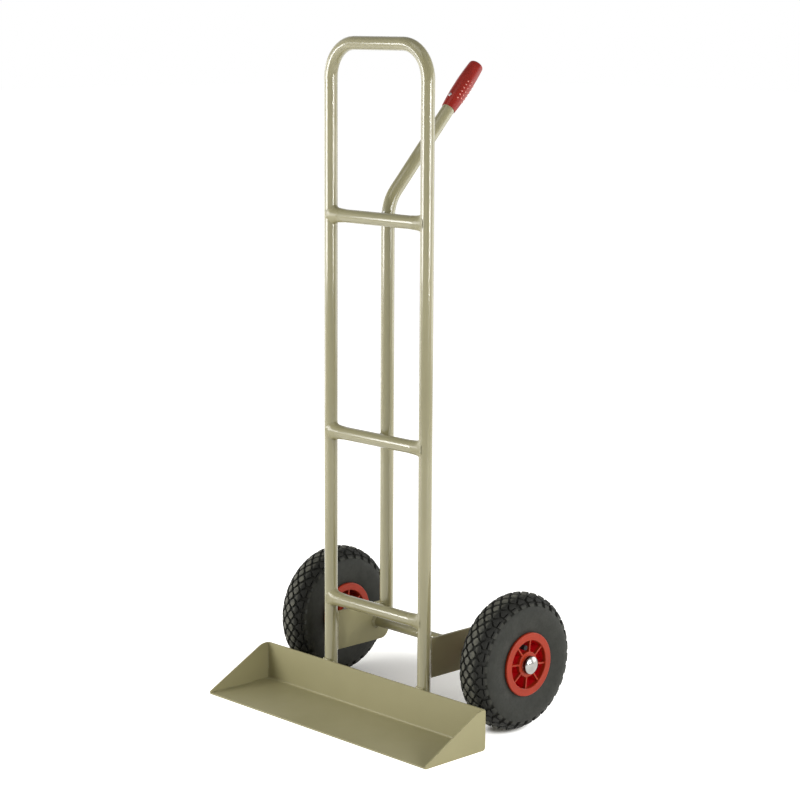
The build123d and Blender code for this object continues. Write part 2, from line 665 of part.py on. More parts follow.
# Roller bearing: steel rollers in the windows of a moulded cage
with BuildPart() as rollers:
    with BuildSketch(across_axle(WHEEL_X - ROLLER_LENGTH / 2)):
        with PolarLocations(ROLLER_PITCH_R, ROLLER_COUNT):
            Circle(ROLLER_D / 2)
    extrude(amount=ROLLER_LENGTH)
save_pair(rollers, "bearing_rollers")

with BuildPart() as cage:
    with BuildSketch(across_axle(WHEEL_X - CAGE_LENGTH / 2)):
        Circle(ROLLER_PITCH_R + CAGE_T / 2)
        Circle(ROLLER_PITCH_R - CAGE_T / 2, mode=Mode.SUBTRACT)
    extrude(amount=CAGE_LENGTH)
    with BuildSketch(across_axle(WHEEL_X - WINDOW_LENGTH / 2)):
        with PolarLocations(ROLLER_PITCH_R, ROLLER_COUNT):
            Circle(ROLLER_D / 2 + CAGE_CLEARANCE)
    extrude(amount=WINDOW_LENGTH, mode=Mode.SUBTRACT)
save_pair(cage, "bearing_cage")
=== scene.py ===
import json
import math

import bmesh
import bpy
from mathutils import Matrix, Vector, noise


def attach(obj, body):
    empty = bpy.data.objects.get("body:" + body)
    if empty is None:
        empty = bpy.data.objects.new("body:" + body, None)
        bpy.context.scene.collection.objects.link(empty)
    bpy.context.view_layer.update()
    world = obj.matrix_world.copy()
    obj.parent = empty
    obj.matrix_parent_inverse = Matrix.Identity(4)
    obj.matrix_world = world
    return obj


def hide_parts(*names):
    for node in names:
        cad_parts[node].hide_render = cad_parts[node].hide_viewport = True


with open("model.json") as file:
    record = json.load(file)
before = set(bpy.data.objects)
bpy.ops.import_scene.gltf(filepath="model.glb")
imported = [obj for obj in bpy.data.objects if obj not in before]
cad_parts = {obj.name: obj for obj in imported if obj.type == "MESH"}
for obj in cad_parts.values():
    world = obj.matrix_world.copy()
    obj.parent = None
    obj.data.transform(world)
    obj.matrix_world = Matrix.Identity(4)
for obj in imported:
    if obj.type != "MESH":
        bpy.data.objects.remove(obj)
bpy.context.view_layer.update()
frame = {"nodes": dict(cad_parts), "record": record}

NODES = frame["nodes"]
MM = 0.001
TAU = 2 * math.pi

# Sizes repeated from the solids, in millimetres and radians
TUBE_R = 12.7
UPRIGHT_X = 128.5
UPRIGHT_Y = -50.3663
RUNG_HEIGHTS = {"lower_rung": 200.0, "middle_rung": 528.5, "upper_rung": 942.0}
TRAY_X = 301.0
TRAY_DEPTH = 152.0
TRAY_HEIGHT = 76.5
SHEET_T = 3.0
FOLD_R = 3.5
PLATE_T = 6.0
PLATE_HEIGHT = 76.0
AXLE_R = 10.0
AXLE_Y = 69.1337
AXLE_Z = 130.0
WHEEL_X = 247.0
RIM_FACE_X = 282.0
CAP_DOME_X = 290.8
SECTION_R = 37.0
SECTION_MID_R = 93.0
FLANGE_IN = 31.0
FLANGE_R = 60.0
SEAT_R = 51.0
BEAD_TOE_X = 18.5
CAVITY_R = 29.0
HANDLE_TILT = math.radians(43.0)
HANDLE_BEND_R = 75.0
HANDLE_STRAIGHT = 306.0
GRIP_LENGTH = 111.0
GRIP_MOUTH_R = 14.0
GRIP_BELLY_R = 16.6
GRIP_BELLY_AT = 52.0
GRIP_ROUND = 5.0
GRIP_END_WALL = 4.0
# A hundredth of a millimetre less than the solid's, so that the grip stays inside the solid's box
GRIP_TIP_R = 14.39

# Sizes and places that follow from these
SPINE_Y = UPRIGHT_Y + 2 * TUBE_R
TRAY_BACK_Y = UPRIGHT_Y - TUBE_R
TRAY_FRONT_Y = TRAY_BACK_Y - TRAY_DEPTH
TYRE_R = SECTION_MID_R + SECTION_R
SIDE_TUCK = SECTION_R - FLANGE_IN
SIDE_DROP = SECTION_MID_R - FLANGE_R
SIDE_R = (SIDE_TUCK**2 + SIDE_DROP**2) / (2 * SIDE_TUCK)
SIDE_ANGLE = 2 * math.atan2(SIDE_TUCK, SIDE_DROP)
BEND_SETBACK = HANDLE_BEND_R * math.tan(HANDLE_TILT / 2)
BEND_CORNER = Vector((0, SPINE_Y, RUNG_HEIGHTS["upper_rung"] + BEND_SETBACK))
ARM_TIP = BEND_SETBACK + HANDLE_STRAIGHT + GRIP_END_WALL
ARM_DIR = Vector((0, math.sin(HANDLE_TILT), math.cos(HANDLE_TILT)))
ARM_FRONT = Vector((0, -math.cos(HANDLE_TILT), math.sin(HANDLE_TILT)))
ARM_SIDE = Vector((1, 0, 0))
GRIP_MOUTH = BEND_CORNER + ARM_DIR * (ARM_TIP - GRIP_LENGTH)
GRIP_SHOULDER = GRIP_LENGTH - GRIP_ROUND


# Shader nodes

def object_place(tree):
    """The place of a point in its object's own coordinates, in metres."""
    return tree.nodes.new("ShaderNodeTexCoord").outputs["Object"]


def mapped(tree, value, start, stop, low, high, style="LINEAR"):
    """A change from low to high while a value goes from start to stop."""
    change = tree.nodes.new("ShaderNodeMapRange")
    change.interpolation_type = style
    for socket, number in (("From Min", start), ("From Max", stop), ("To Min", low), ("To Max", high)):
        change.inputs[socket].default_value = number
    tree.links.new(value, change.inputs["Value"])
    return change.outputs["Result"]


def combined(tree, operation, a, b):
    """Two values put together by a math operation."""
    node = tree.nodes.new("ShaderNodeMath")
    node.operation = operation
    tree.links.new(a, node.inputs[0])
    tree.links.new(b, node.inputs[1])
    return node.outputs[0]


def vector_node(tree, operation, vector, other=None):
    """A node that works on a vector, together with a constant one where it needs two."""
    node = tree.nodes.new("ShaderNodeVectorMath")
    node.operation = operation
    tree.links.new(vector, node.inputs[0])
    if other:
        node.inputs[1].default_value = other
    return node


# Materials

# Range of the noise over which tone and gloss change, and its detail
TONE_RANGE = (0.35, 0.65)
GLOSS_RANGE = (0.3, 0.7)
DRIFT_DETAIL = 3.0
GRAIN_DETAIL = 2.0
# How much finer the gloss changes than the tone
GLOSS_TO_TONE = 5
# A Mix node's sockets for colours
MIX_SHARE, MIX_UNDER, MIX_OVER = 0, 6, 7
MIX_RESULT = 2


def new_material(name, color, roughness, metallic, sockets):
    """A principled material with its constants on the shader's own sockets."""
    material = bpy.data.materials.new(name)
    material.use_nodes = True
    shader = material.node_tree.nodes["Principled BSDF"]
    shader.inputs["Base Color"].default_value = (*color, 1)
    shader.inputs["Roughness"].default_value = roughness
    shader.inputs["Metallic"].default_value = metallic
    for socket, value in sockets.items():
        shader.inputs[socket.replace("_", " ")].default_value = value
    return material


def noise_of(tree, scale, detail):
    """Noise over the object's own coordinates, in features per metre."""
    grain = tree.nodes.new("ShaderNodeTexNoise")
    grain.inputs["Scale"].default_value = scale
    grain.inputs["Detail"].default_value = detail
    tree.links.new(object_place(tree), grain.inputs["Vector"])
    return grain.outputs["Fac"]


def vary_color(tree, grain, dark, light):
    """Mix two tones of the base colour by a noise."""
    ramp = tree.nodes.new("ShaderNodeValToRGB")
    for stop, position, color in zip(ramp.color_ramp.elements, TONE_RANGE, (dark, light)):
        stop.position = position
        stop.color = (*color, 1)
    tree.links.new(grain, ramp.inputs["Fac"])
    tree.links.new(ramp.outputs["Color"], tree.nodes["Principled BSDF"].inputs["Base Color"])


def vary_roughness(tree, grain, low, high):
    """Spread the roughness between two values by a noise."""
    roughness = mapped(tree, grain, *GLOSS_RANGE, low, high)
    tree.links.new(roughness, tree.nodes["Principled BSDF"].inputs["Roughness"])


def add_bump(tree, grain, strength, distance):
    """Raise the surface by a noise."""
    bump = tree.nodes.new("ShaderNodeBump")
    bump.inputs["Strength"].default_value = strength
    bump.inputs["Distance"].default_value = distance
    tree.links.new(grain, bump.inputs["Height"])
    tree.links.new(bump.outputs["Normal"], tree.nodes["Principled BSDF"].inputs["Normal"])


def finish_of(name, dark, light, rough, tone, grain, bump, metallic=0.0, **sockets):
    """A finish with drifting tone, uneven gloss and a fine grain."""
    middle = [(d + l) / 2 for d, l in zip(dark, light)]
    material = new_material(name, middle, sum(rough) / 2, metallic, sockets)
    tree = material.node_tree
    vary_color(tree, noise_of(tree, tone, DRIFT_DETAIL), dark, light)
    vary_roughness(tree, noise_of(tree, GLOSS_TO_TONE * tone, DRIFT_DETAIL), *rough)
    add_bump(tree, noise_of(tree, grain, GRAIN_DETAIL), *bump)
    return material


def tint(tree, share, color):
    """Mix a colour over the base colour, by a share that changes over the surface."""
    base = tree.nodes["Principled BSDF"].inputs["Base Color"]
    blend = tree.nodes.new("ShaderNodeMix")
    blend.data_type = "RGBA"
    blend.inputs[MIX_OVER].default_value = (*color, 1)
    tree.links.new(share, blend.inputs[MIX_SHARE])
    tree.links.new(base.links[0].from_socket, blend.inputs[MIX_UNDER])
    tree.links.new(blend.outputs[MIX_RESULT], base)


def tint_by_attribute(material, attribute, color):
    """Tint a finish by an attribute of the mesh."""
    worn = material.node_tree.nodes.new("ShaderNodeAttribute")
    worn.attribute_name = attribute
    tint(material.node_tree, worn.outputs["Fac"], color)


def paint_shading_inboard(material, color, below, above):
    """Paint a colour that stands in for light or shade over what lies nearer to the trolley's middle plane,
    from all of it below to none of it above.
    """
    tree = material.node_tree
    axes = tree.nodes.new("ShaderNodeSeparateXYZ")
    tree.links.new(vector_node(tree, "ABSOLUTE", object_place(tree)).outputs["Vector"], axes.inputs["Vector"])
    tint(tree, mapped(tree, axes.outputs["X"], below * MM, above * MM, 1.0, 0.0), color)


STONE_DARK = (0.300, 0.275, 0.148)
STONE_LIGHT = (0.330, 0.303, 0.166)
PAINT = finish_of("stone_paint", STONE_DARK, STONE_LIGHT, (0.15, 0.16),
                  tone=7.0, grain=420.0, bump=(0.006, 0.0003), Coat_Weight=0.5, Coat_Roughness=0.09)
WELD_PAINT = finish_of("stone_paint_on_welds", STONE_DARK, STONE_LIGHT, (0.24, 0.32),
                       tone=7.0, grain=420.0, bump=(0.04, 0.0003))
SHEET_PAINT = finish_of("stone_paint_on_sheet", (0.338, 0.310, 0.166), (0.366, 0.336, 0.184), (0.42, 0.46),
                        tone=7.0, grain=420.0, bump=(0.012, 0.0003), Specular_IOR_Level=0.3)

GRIP_RED = finish_of("grip_vinyl", (0.27, 0.0135, 0.006), (0.32, 0.017, 0.009), (0.24, 0.32),
                     tone=60.0, grain=1500.0, bump=(0.06, 0.0002), Specular_IOR_Level=0.28)
# Painted glints: the tops of the pips are tinted a pale pink
tint_by_attribute(GRIP_RED, "pip_glint", (0.84, 0.34, 0.28))


def rim_plastic(name):
    """The red plastic of the rims."""
    return finish_of(name, (0.325, 0.024, 0.005), (0.375, 0.030, 0.007), (0.34, 0.44),
                     tone=30.0, grain=1300.0, bump=(0.10, 0.0002), Specular_IOR_Level=0.27)


# Depths behind the face of an outer half where its pockets are fully brighter with painted bounce light, and
# where that ends
POCKET_BRIGHT, POCKET_PLAIN = 9.0, 4.0
RIM_RED = rim_plastic("rim_plastic")
RIM_POCKET_LIGHT_RED = rim_plastic("rim_plastic_painted_pocket_light")
# Painted bounce light: the pockets, deeper than the face, are tinted a brighter, redder red
paint_shading_inboard(RIM_POCKET_LIGHT_RED, (0.66, 0.008, 0.018), RIM_FACE_X - POCKET_BRIGHT, RIM_FACE_X - POCKET_PLAIN)

TYRE_BLACK = finish_of("tyre_rubber", (0.028, 0.029, 0.0245), (0.036, 0.037, 0.0315), (0.55, 0.72),
                       tone=45.0, grain=1600.0, bump=(0.25, 0.0003), Specular_IOR_Level=0.2)
# A darker band over the tyre's shoulder
tint_by_attribute(TYRE_BLACK, "shoulder_dark", (0.014, 0.014, 0.012))
# Dust on the crown's block tops, and a painted highlight on the lugs' toes
tint_by_attribute(TYRE_BLACK, "dust_and_toe_highlight", (0.122, 0.120, 0.096))
SOFT_BLACK = finish_of("tube_rubber", (0.016, 0.016, 0.016), (0.026, 0.026, 0.025), (0.45, 0.6),
                       tone=80.0, grain=1800.0, bump=(0.2, 0.0002))
CAP_BLACK = finish_of("valve_plastic", (0.012, 0.012, 0.012), (0.020, 0.020, 0.020), (0.45, 0.6),
                      tone=90.0, grain=2000.0, bump=(0.15, 0.0001), Specular_IOR_Level=0.2)
CAGE_WHITE = finish_of("cage_nylon", (0.68, 0.66, 0.60), (0.76, 0.75, 0.70), (0.4, 0.5),
                       tone=80.0, grain=1500.0, bump=(0.1, 0.0002))

# Painted shade: the skirt of the axle caps, behind their domes, is coloured dark, standing in for the dark
# reflection of the shaded hub
SKIRT_SHADE_FADE = 2.0
CHROME = finish_of("bright_chrome", (0.33, 0.325, 0.31), (0.40, 0.395, 0.38), (0.14, 0.20), metallic=1.0,
                   tone=60.0, grain=700.0, bump=(0.03, 0.0002))
# Painted shade on the caps' skirts
paint_shading_inboard(CHROME, (0.10, 0.075, 0.06), CAP_DOME_X - SKIRT_SHADE_FADE, CAP_DOME_X)
ZINC = finish_of("zinc_plate", (0.46, 0.47, 0.48), (0.60, 0.61, 0.61), (0.28, 0.42), metallic=1.0,
                 tone=120.0, grain=1500.0, bump=(0.1, 0.0002))
ALLOY = finish_of("rivet_alloy", (0.45, 0.44, 0.43), (0.55, 0.54, 0.53), (0.30, 0.42), metallic=1.0,
                  tone=300.0, grain=2500.0, bump=(0.1, 0.0001))

LOOKS = {
    "frame_paint": PAINT,
    "red_grip": GRIP_RED,
    "rivet_alloy": ALLOY,
    "zinc_steel": ZINC,
    "bright_cap": CHROME,
    "black_tyre": TYRE_BLACK,
    "black_rubber": SOFT_BLACK,
    "red_rim": RIM_RED,
    "black_plastic": CAP_BLACK,
    "white_plastic": CAGE_WHITE,
}
SHEETS = ("tray", "left_gusset", "right_gusset", "left_side_plate", "right_side_plate")
for subpart in frame["record"]["subparts"]:
    look = LOOKS[subpart["material_slot"]]
    if subpart["node"] in SHEETS:
        look = SHEET_PAINT
    elif subpart["node"].endswith("rim_outer_half"):
        look = RIM_POCKET_LIGHT_RED
    for slot in NODES[subpart["node"]].material_slots:
        slot.material = look


# Meshes

def turns(count):
    """Angles all the way round, evenly spaced."""
    return [TAU * i / count for i in range(count)]


def circle(middle, radius, across, other, sides):
    """Points round a middle, in the plane of two directions."""
    return [middle + radius * (math.cos(turn) * across + math.sin(turn) * other) for turn in turns(sides)]


def loft(rings, loop=False):
    """Points and faces of a skin through rings of equally many points, closed at its ends or on itself."""
    count = len(rings[0])
    points = [p for ring in rings for p in ring]
    faces = []
    last = len(rings) if loop else len(rings) - 1
    for i in range(last):
        near, far = i * count, (i + 1) % len(rings) * count
        for j in range(count):
            k = (j + 1) % count
            faces.append((near + j, near + k, far + k, far + j))
    if not loop:
        faces.append(tuple(reversed(range(count))))
        start = (len(rings) - 1) * count
        faces.append(tuple(range(start, start + count)))
    return points, faces


def turn_outwards(mesh):
    """Turn every skin's faces outwards."""
    edit = bmesh.new()
    edit.from_mesh(mesh)
    bmesh.ops.recalc_face_normals(edit, faces=edit.faces)
    edit.to_mesh(mesh)
    edit.free()


def piece(name, skins, body, look, crease):
    """One object from several skins, given in millimetres, riding on a body."""
    points, faces = [], []
    for skin_points, skin_faces in skins:
        base = len(points)
        points += [p * MM for p in skin_points]
        faces += [tuple(base + i for i in face) for face in skin_faces]
    mesh = bpy.data.meshes.new(name)
    mesh.from_pydata(points, [], faces)
    mesh.update()
    turn_outwards(mesh)
    mesh.polygons.foreach_set("use_smooth", [True] * len(mesh.polygons))
    mesh.set_sharp_from_angle(angle=math.radians(crease))
    thing = bpy.data.objects.new(name, mesh)
    bpy.context.scene.collection.objects.link(thing)
    mesh.materials.append(look)
    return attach(thing, body)


def paint_points(thing, attribute, values):
    """Give each point of a piece a value for its material."""
    layer = thing.data.attributes.new(attribute, "FLOAT", "POINT")
    layer.data.foreach_set("value", values)


def mirrored(skins):
    """The same skins on the other side of the trolley."""
    return [([Vector((-p.x, p.y, p.z)) for p in points], faces) for points, faces in skins]


def wobble(point, size):
    """A steady unevenness that follows the place of a point."""
    return noise.noise(Vector(point) / size)


def progress(value, start, stop):
    """How far a value has gone from start to stop, between zero and one."""
    return min(max((value - start) / (stop - start), 0.0), 1.0)


# Welds

WELD_CREASE = 50.0
RIPPLE_PITCH = 2.4
RIPPLE_SHARE = 0.05
UNEVEN_SHARE = 0.10
UNEVEN_SIZE = 5.0
# Size of a weld at its ends, as a share of its full size
END_SHARE = 0.35


def weld_piece(name, skins):
    """A piece of the frame made of welds."""
    piece(name, skins, "frame", WELD_PAINT, WELD_CREASE)


def tube_skin(offset):
    """How far a tube's skin stands before its axis, at an offset to the side of it."""
    return math.sqrt(max(TUBE_R**2 - offset**2, 0.0))


def ripple(length, place):
    """Rise and fall of a weld along its length, as a share of its size."""
    return RIPPLE_SHARE * math.sin(TAU * length / RIPPLE_PITCH) + UNEVEN_SHARE * wobble(place, UNEVEN_SIZE)


def line(start, end, step=0.8):
    """Evenly spaced points from start to end."""
    start, end = Vector(start), Vector(end)
    count = max(2, round((end - start).length / step))
    return [start.lerp(end, i / count) for i in range(count + 1)]


FILLET_STEPS = 5
FILLET_SINK = 0.6


def fillet_ring(corner, leg_a, leg_b, bulge):
    """Section of a weld that fills the corner between two surfaces, sunk a little into both."""
    control = corner + bulge * (leg_a + leg_b)
    inward = -(leg_a + leg_b).normalized() * FILLET_SINK
    start, end = corner + leg_a, corner + leg_b
    ring = [corner + inward * 2, start + inward]
    for i in range(FILLET_STEPS + 1):
        u = i / FILLET_STEPS
        ring.append((1 - u) ** 2 * start + 2 * u * (1 - u) * control + u * u * end)
    ring.append(end + inward)
    return ring


# A direction that no bead follows
OFF_AXIS = Vector((0.31, 0.52, 0.79))


def bead(path, radius, closed=False, sides=10):
    """A round bead of weld along a path, with rippled skin and tapered ends."""
    rings = []
    run = 0.0
    count = len(path)
    for i, p in enumerate(path):
        ahead = path[(i + 1) % count] if closed or i + 1 < count else p
        behind = path[i - 1] if closed or i > 0 else p
        heading = (ahead - behind).normalized()
        across = heading.cross(OFF_AXIS).normalized()
        size = radius * (1 + ripple(run, p))
        if not closed and i in (0, count - 1):
            size *= END_SHARE
        rings.append(circle(p, size, across, heading.cross(across), sides))
        run += (ahead - p).length
    return loft(rings, loop=closed)


# Rungs to uprights: distances from the upright's skin, and how high the weld flares above the rung there
FLARE_STATIONS = (-1.5, 0.0, 1.2, 2.6, 4.5, 7.0, 10.0, 14.0, 19.0, 25.0, 31.0)
FLARE_SIDES = 56
FLARE_TOP = 5.2
FLARE_BOTTOM = 3.4
FLARE_LEAST = 0.8
FLARE_POWER = 1.4
# The flare dies out along the rung, a share of it steeply and the rest slowly
STEEP_SHARE = 0.45
STEEP_RUN = 2.6
SLOW_RUN = 11.0
# Lumps round the flare, and how they are drawn out along it, round it and from one rung's end to the other
LUMP_COUNT = 17
LUMP_RISE = 0.22
LUMP_UNEVEN = 0.5
LUMP_SIZE = 6.0
LUMP_RUN = 5.0
LUMP_ALONG, LUMP_ROUND, LUMP_SHIFT = 2, 9, 40
FLARE_EDGE_SINK = 0.3
FLARE_SINK = 1.0


def saddle_point(side, height, turn, run, rise):
    """A point beside an upright, a run along the rung from the upright's skin and a rise above the rung's."""
    y, z = (TUBE_R + rise) * math.cos(turn), (TUBE_R + rise) * math.sin(turn)
    return Vector((side * (UPRIGHT_X - tube_skin(y) - run), UPRIGHT_Y + y, height + z))


def flare_rise(side, height, turn, station):
    """How high a rung's weld stands above the rung."""
    run = max(station, 0.0)
    tall = FLARE_TOP if math.sin(turn) > 0 else FLARE_BOTTOM
    steep, slow = math.exp(-run / STEEP_RUN), math.exp(-run / SLOW_RUN)
    lump_place = (LUMP_ALONG * station, LUMP_ROUND * turn, height + LUMP_SHIFT * side)
    lumps = LUMP_RISE * math.sin(LUMP_COUNT * turn) + LUMP_UNEVEN * wobble(lump_place, LUMP_SIZE)
    flare = tall * abs(math.sin(turn)) ** FLARE_POWER + FLARE_LEAST
    return flare * (STEEP_SHARE * steep + (1 - STEEP_SHARE) * slow) + lumps * math.exp(-run / LUMP_RUN)


def rung_weld(side, height):
    """The flared end of a rung where it is welded round to its upright."""
    *inner, last = FLARE_STATIONS
    rings = []
    for turn in turns(FLARE_SIDES):
        profile = [(station, flare_rise(side, height, turn, station)) for station in inner]
        profile += [(last, -FLARE_EDGE_SINK), (last, -FLARE_SINK), (inner[0], -FLARE_SINK)]
        rings.append([saddle_point(side, height, turn, run, rise) for run, rise in profile])
    return loft(rings, loop=True)


# Spine to rungs
SPINE_RING_R = 8.8
SPINE_RING_POINTS = 64
SPINE_BEAD_R = 3.0


def spine_weld(height):
    """Ring of weld round the place where the spine touches a rung."""
    path = []
    for turn in turns(SPINE_RING_POINTS):
        x, z = SPINE_RING_R * math.cos(turn), SPINE_RING_R * math.sin(turn)
        rung_back, spine_front = UPRIGHT_Y + tube_skin(z), SPINE_Y - tube_skin(x)
        path.append(Vector((x, (rung_back + spine_front) / 2, height + z)))
    return bead(path, SPINE_BEAD_R, closed=True)


# Side plates to uprights along both faces, and the axle to the plates' inner faces
PLATE_WELD_LEG = 5.0
PLATE_WELD_OVERRUN = 1.5
PLATE_WELD_TAPER = 4.0
PLATE_WELD_BULGE = 0.55
AXLE_WELD_POINTS = 72
AXLE_WELD_ALONG = Vector((-5.0, 0, 0))
AXLE_WELD_OUT = 4.6
AXLE_WELD_BULGE = 0.52


def plate_weld(face):
    """Upright weld in the corner between a face of the right plate and the back of its tube."""
    toe = math.asin(PLATE_T / 2 / TUBE_R)
    heel = toe + PLATE_WELD_LEG / TUBE_R
    on_plate = Vector((0, PLATE_WELD_LEG, 0))
    on_tube = TUBE_R * Vector((face * (math.sin(heel) - math.sin(toe)), math.cos(heel) - math.cos(toe), 0))
    x, y = UPRIGHT_X + face * PLATE_T / 2, UPRIGHT_Y + TUBE_R * math.cos(toe)
    low = AXLE_Z - PLATE_HEIGHT / 2 - PLATE_WELD_OVERRUN
    high = AXLE_Z + PLATE_HEIGHT / 2 + PLATE_WELD_OVERRUN
    rings = []
    for p in line((x, y, low), (x, y, high)):
        size = min(1.0, END_SHARE + min(p.z - low, high - p.z) / PLATE_WELD_TAPER)
        rings.append(fillet_ring(p, on_plate * size, on_tube * size, PLATE_WELD_BULGE + ripple(p.z, p)))
    return loft(rings)


def axle_weld():
    """Ring of weld between the axle and the inner face of the right plate."""
    middle = Vector((UPRIGHT_X - PLATE_T / 2, AXLE_Y, AXLE_Z))
    rings = []
    for turn in turns(AXLE_WELD_POINTS):
        spoke = Vector((0, math.cos(turn), math.sin(turn)))
        corner = middle + AXLE_R * spoke
        bulge = AXLE_WELD_BULGE + ripple(turn * AXLE_R, corner)
        rings.append(fillet_ring(corner, AXLE_WELD_ALONG, AXLE_WELD_OUT * spoke, bulge))
    return loft(rings, loop=True)


# Uprights to the tray: a bead over the wall's top edge and one down each side behind it
TOP_BEAD_R = 2.7
TOP_BEAD_HALF = 8.4
TOP_BEAD_STEPS = 28
TOP_BEAD_FORWARD = 0.6
TOP_BEAD_UP = 0.3
SIDE_BEAD_R = 2.2
SIDE_BEAD_OUT = 6.2
SIDE_BEAD_BACK = 0.9
SIDE_BEAD_LOW = 9.0
SIDE_BEAD_HIGH = TRAY_HEIGHT - 1.5


def tray_weld(side):
    """The three beads between one upright and the tray."""
    over = []
    for i in range(TOP_BEAD_STEPS + 1):
        x = TOP_BEAD_HALF * (2 * i / TOP_BEAD_STEPS - 1)
        y = UPRIGHT_Y - tube_skin(x) - TOP_BEAD_FORWARD
        over.append(Vector((side * UPRIGHT_X + x, y, TRAY_HEIGHT + TOP_BEAD_UP)))
    beads = [bead(over, TOP_BEAD_R)]
    for face in (-1, 1):
        x, y = side * UPRIGHT_X + face * SIDE_BEAD_OUT, TRAY_BACK_Y + SIDE_BEAD_BACK
        beads.append(bead(line((x, y, SIDE_BEAD_LOW), (x, y, SIDE_BEAD_HIGH)), SIDE_BEAD_R))
    return beads


# Gussets to the tray: a thin run of weld in the inside corners, along the floor and up the wall
SEAM_BEAD_R = 1.1
SEAM_SIDES = 8
SEAM_STEP = 1.6
SEAM_FOLD_STEPS = 8
SEAM_X = TRAY_X - SHEET_T - 0.2
SEAM_FRONT_Y = TRAY_FRONT_Y + 5.0
SEAM_TOP_Z = TRAY_HEIGHT - 2.5


def gusset_seam():
    """The run of weld in the right gusset's corner."""
    wall_y = TRAY_BACK_Y - SHEET_T
    fold_y, fold_z = wall_y - FOLD_R, SHEET_T + FOLD_R
    path = line((SEAM_X, SEAM_FRONT_Y, SHEET_T), (SEAM_X, fold_y, SHEET_T), SEAM_STEP)
    for i in range(1, SEAM_FOLD_STEPS):
        turn = math.radians(90 * i / SEAM_FOLD_STEPS)
        path.append(Vector((SEAM_X, fold_y + FOLD_R * math.sin(turn), fold_z - FOLD_R * math.cos(turn))))
    path += line((SEAM_X, wall_y, fold_z), (SEAM_X, wall_y, SEAM_TOP_Z), SEAM_STEP)
    return bead(path, SEAM_BEAD_R, sides=SEAM_SIDES)


for rung, height in RUNG_HEIGHTS.items():
    weld_piece(f"{rung}_welds", [rung_weld(side, height) for side in (-1, 1)])
weld_piece("spine_welds", [spine_weld(height) for height in RUNG_HEIGHTS.values()])
plate_welds = [plate_weld(-1), plate_weld(1), axle_weld()]
weld_piece("right_plate_welds", plate_welds)
weld_piece("left_plate_welds", mirrored(plate_welds))
weld_piece("tray_welds", [*tray_weld(-1), *tray_weld(1)])
seam = [gusset_seam()]
weld_piece("right_gusset_seam", seam)
weld_piece("left_gusset_seam", mirrored(seam))


# Tyres: places in the section are leans from the crown's middle, or arc lengths from it over the tread

TYRE_CREASE = 32.0
PITCHES = 32
RINGS_PER_PITCH = 4
HALF_PITCH = math.pi * TYRE_R / PITCHES
GROOVE = 4.1
GROOVE_DEPTH = 4.0
GROOVE_FLOOR_R = SECTION_R - GROOVE_DEPTH
GROOVE_FLOOR_END = math.radians(58.0)
# Lean in degrees, and depth below the section's circle, of the step from the grooves' floor to the sidewall
SHOULDER = ((60.0, 4.0), (62.0, 2.6), (63.5, 1.2), (65.5, 0.3))
SIDEWALL_START = 66.5
BEAD_LIP = 4.5
GROOVE_STEPS, SIDEWALL_STEPS, SIDE_STEPS, CAVITY_STEPS = 12, 7, 12, 6
# Diamonds, with their points cut off by a share
ROW_STEP = 9.0
DIAMOND_ROWS = 2
DIAMOND_CUT = 0.2
DIAMOND_EDGE_STEPS = 2
# Lugs, split into a heel and a toe, with their half widths as shares of a diamond's half length
LUG_ROW = DIAMOND_ROWS + 1
LUG_ROOT = LUG_ROW * ROW_STEP
LUG_HEEL = 31.5
LUG_TOE = 34.0
LUG_END = math.radians(65.0) * SECTION_R
ROOT_SHARE, HEEL_SHARE, TOE_SHARE, TIP_SHARE = 0.92, 0.84, 0.80, 0.74
LUG_EDGE_STEPS = 3
# How far a block's flank stands out from its outline, at heights above the grooves' floor, and the shares of
# the outline that its top runs through
BLOCK_FLANK = ((1.3, -0.6), (0.25, GROOVE_DEPTH - 0.5), (-0.25, GROOVE_DEPTH - 0.08))
BLOCK_TOP = (0.62, 0.25)


def on_section(lean, radius):
    """Distance along the axle, and radius round it, of a point of a circle in the tyre's section."""
    return radius * math.sin(lean), SECTION_MID_R + radius * math.cos(lean)


def round_axle(along_axle, radius, turn):
    """A point of the right-hand wheel by its place in the section and its turn."""
    return Vector((WHEEL_X + along_axle, AXLE_Y + radius * math.cos(turn), AXLE_Z + radius * math.sin(turn)))


def tyre_profile():
    """Right half of the tyre's section, from the crown down the side and back through the cavity."""
    half = []
    for i in range(GROOVE_STEPS + 1):
        half.append(on_section(GROOVE_FLOOR_END * i / GROOVE_STEPS, GROOVE_FLOOR_R))
    half += [on_section(math.radians(lean), SECTION_R - depth) for lean, depth in SHOULDER]
    for i in range(1, SIDEWALL_STEPS + 1):
        lean = SIDEWALL_START + (90 - SIDEWALL_START) * i / SIDEWALL_STEPS
        half.append(on_section(math.radians(lean), SECTION_R))
    for i in range(1, SIDE_STEPS + 1):
        turn = SIDE_ANGLE * i / SIDE_STEPS
        half.append((SECTION_R - SIDE_R * (1 - math.cos(turn)), SECTION_MID_R - SIDE_R * math.sin(turn)))
    half += [(FLANGE_IN, SEAT_R), (BEAD_TOE_X, SEAT_R), (FLANGE_IN - BEAD_LIP, FLANGE_R)]
    half += [on_section(math.radians(90 * (1 - i / CAVITY_STEPS)), CAVITY_R) for i in range(CAVITY_STEPS)]
    return half


def tyre_carcass():
    """The tyre without its blocks, hollow and open towards the rim between its beads."""
    half = tyre_profile()
    section = half + [on_section(0, CAVITY_R)] + [(-x, radius) for x, radius in reversed(half[1:])]
    rings = []
    for turn in turns(RINGS_PER_PITCH * PITCHES):
        rings.append([round_axle(x, radius, turn) for x, radius in section])
    return loft(rings, loop=True)


def divided(corners, steps):
    """A closed outline with each of its edges divided evenly."""
    outline = []
    for i, corner in enumerate(corners):
        following = corners[(i + 1) % len(corners)]
        outline += [corner.lerp(following, k / steps) for k in range(steps)]
    return outline


